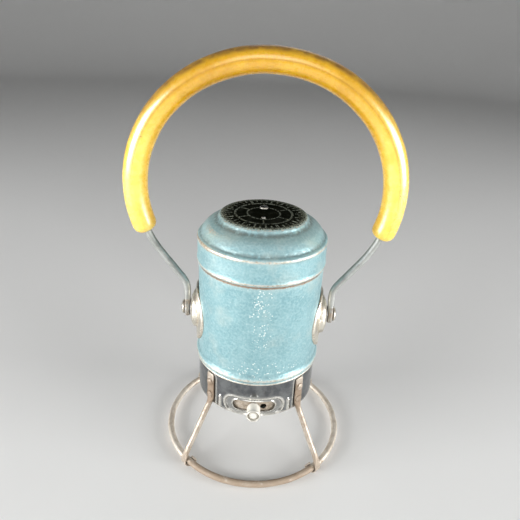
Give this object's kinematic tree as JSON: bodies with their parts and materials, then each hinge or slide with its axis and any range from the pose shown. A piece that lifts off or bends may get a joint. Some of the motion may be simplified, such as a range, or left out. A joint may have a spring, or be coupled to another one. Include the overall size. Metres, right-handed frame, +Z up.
{
  "type": "battery hand lantern",
  "caption": "Round battery lantern with a lift-off cover, a plated base skirt, wire legs on a ring and a large wire bail with a thick grip.",
  "frame": {"origin": "on the standing surface, midway between the outermost points of the base ring and the bail, under the middle of the can", "axes": "+Z up along the can's axis, +X to the right along the line through the two bail pivots, +Y to the back; the selector knob faces -Y"},
  "size_m": [0.185, 0.1364, 0.285],
  "materials": {
    "blue_paint": "light blue hammered metallic paint, speckled and worn pale along the edges",
    "skirt_nickel": "bright nickel plating, scratched",
    "leg_zinc": "dull plated wire with light rust",
    "ear_nickel": "satin nickel plating",
    "knob_nickel": "satin nickel plating",
    "bail_wire_steel": "dull grey wire",
    "grip_yellow": "glossy amber yellow, dirty along the top",
    "spring_steel": "plain spring steel",
    "fibre": "brown hard fibre board",
    "brass": "plain brass",
    "reflector_silver": "polished silver plating",
    "lamp_glass": "clear glass",
    "battery_jacket": "plain printed card and plastic jacket"
  },
  "bodies": {
    "lantern": {"body_can": "blue_paint", "base_skirt": "skirt_nickel", "base_ring": "leg_zinc", "leg_front_left": "leg_zinc", "leg_front_right": "leg_zinc", "leg_rear_left": "leg_zinc", "leg_rear_right": "leg_zinc", "leg_rivet_front_left_lower": "leg_zinc", "leg_rivet_front_left_upper": "leg_zinc", "leg_rivet_front_right_lower": "leg_zinc", "leg_rivet_front_right_upper": "leg_zinc", "leg_rivet_rear_left_lower": "leg_zinc", "leg_rivet_rear_left_upper": "leg_zinc", "leg_rivet_rear_right_lower": "leg_zinc", "leg_rivet_rear_right_upper": "leg_zinc", "ear_left": "ear_nickel", "ear_right": "ear_nickel", "ear_pivot_left": "ear_nickel", "ear_pivot_right": "ear_nickel", "battery_centre_spring": "spring_steel", "battery_corner_spring": "spring_steel", "contact_board": "fibre", "centre_contact": "brass", "corner_contact": "brass", "main_lamp_socket": "brass", "main_lamp_base": "brass", "spare_lamp_socket": "brass", "spare_lamp_base": "brass", "reflector": "reflector_silver", "main_lamp_glass": "lamp_glass", "spare_lamp_glass": "lamp_glass", "battery_case": "battery_jacket"},
    "bail": {"bail_wire": "bail_wire_steel", "bail_grip": "grip_yellow", "bail_washer_left": "spring_steel", "bail_washer_right": "spring_steel"},
    "selector": {"selector_arm": "fibre", "selector_knob": "knob_nickel", "knob_rivet": "knob_nickel"},
    "cover": {"top_cover": "blue_paint", "cover_spring": "spring_steel", "cover_rivet_front": "knob_nickel", "cover_rivet_rear": "knob_nickel"}
  },
  "joints": [
    {"name": "bail_swing", "type": "hinge", "parent": "lantern", "child": "bail", "pos_m": [0, 0, 0.1063], "axis": [1, 0, 0], "range_deg": [-120, 120]},
    {"name": "selector_turn", "type": "hinge", "parent": "lantern", "child": "selector", "pos_m": [0, 0, 0.06], "axis": [0, 0, 1], "range_deg": [-13, 13]},
    {"name": "cover_lift", "type": "slide", "parent": "lantern", "child": "cover", "axis": [0, 0, 1], "range_m": [0, 0.05]}
  ]
}
